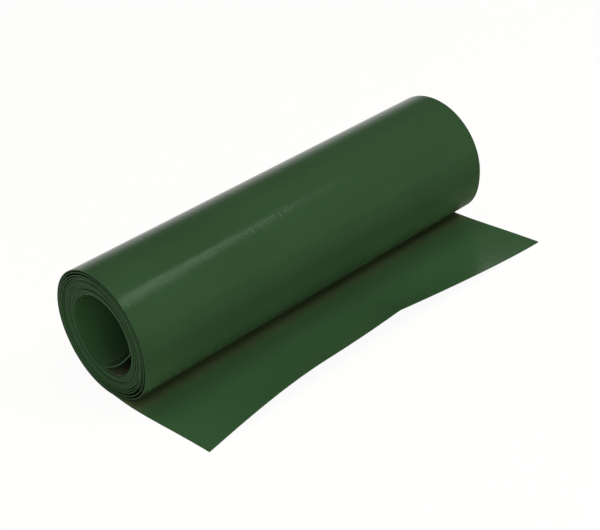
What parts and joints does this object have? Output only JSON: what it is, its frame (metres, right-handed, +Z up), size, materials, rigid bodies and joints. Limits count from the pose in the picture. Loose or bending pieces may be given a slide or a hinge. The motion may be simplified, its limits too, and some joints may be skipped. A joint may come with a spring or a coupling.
{
  "type": "coated fabric strip roll",
  "caption": "Roll of green coated fabric strip, standing on its loosely lying outer end, with a hollow core and a loose inner end.",
  "frame": {"origin": "on the underside of the lying strip, straight below the middle of the roll's axis", "axes": "+X the way the loose outer end lies; +Y along the roll's axis; +Z up, with the ground at 0"},
  "size_m": [0.0862, 0.19, 0.0544],
  "materials": {
    "face": "semi-gloss coated fabric",
    "inside": "semi-gloss coated fabric"
  },
  "bodies": {
    "ground": {"ground_strip": "face"},
    "wrap_1": {"wrap_piece_1": "face"},
    "wrap_2": {"wrap_piece_2": "face"},
    "wrap_3": {"wrap_piece_3": "face"},
    "roll": {"loose_turns": "face", "tight_turns": "inside"},
    "core_end": {"inner_end": "inside"},
    "tail_1": {"tail_piece_1": "face"},
    "tail_2": {"tail_piece_2": "face"},
    "tail_3": {"tail_end": "face"}
  },
  "joints": [
    {"name": "wrap_bend_1", "type": "hinge", "parent": "ground", "child": "wrap_1", "pos_m": [-0.00611, 0, 0.00052], "axis": [0, -1, 0], "range_deg": [0, 22.5], "stiffness_Nm_per_rad": 0.037},
    {"name": "wrap_bend_2", "type": "hinge", "parent": "wrap_1", "child": "wrap_2", "pos_m": [-0.01591, 0, 0.00458], "axis": [0, -1, 0], "range_deg": [0, 22.5], "stiffness_Nm_per_rad": 0.037},
    {"name": "wrap_bend_3", "type": "hinge", "parent": "wrap_2", "child": "wrap_3", "pos_m": [-0.02342, 0, 0.01209], "axis": [0, -1, 0], "range_deg": [0, 22.5], "stiffness_Nm_per_rad": 0.037},
    {"name": "unroll", "type": "hinge", "parent": "wrap_3", "child": "roll", "pos_m": [-0.02748, 0, 0.02189], "axis": [0, -1, 0], "range_deg": [0, 22.5], "stiffness_Nm_per_rad": 0.037},
    {"name": "core_end_swing", "type": "hinge", "parent": "roll", "child": "core_end", "pos_m": [0.0169, 0, 0.0272], "axis": [0, 1, 0], "range_deg": [0, 45], "stiffness_Nm_per_rad": 0.037},
    {"name": "tail_bend_1", "type": "hinge", "parent": "ground", "child": "tail_1", "pos_m": [0.01, 0, 0.00045], "axis": [0, -1, 0], "range_deg": [0, 24], "stiffness_Nm_per_rad": 0.037},
    {"name": "tail_bend_2", "type": "hinge", "parent": "tail_1", "child": "tail_2", "pos_m": [0.02, 0, 0.00045], "axis": [0, -1, 0], "range_deg": [0, 24], "stiffness_Nm_per_rad": 0.037},
    {"name": "tail_bend_3", "type": "hinge", "parent": "tail_2", "child": "tail_3", "pos_m": [0.03, 0, 0.00045], "axis": [0, -1, 0], "range_deg": [0, 24], "stiffness_Nm_per_rad": 0.037}
  ],
  "couplings": [
    {"joint": "wrap_bend_1", "follows": "unroll", "ratio": 1},
    {"joint": "wrap_bend_2", "follows": "unroll", "ratio": 1},
    {"joint": "wrap_bend_3", "follows": "unroll", "ratio": 1}
  ]
}
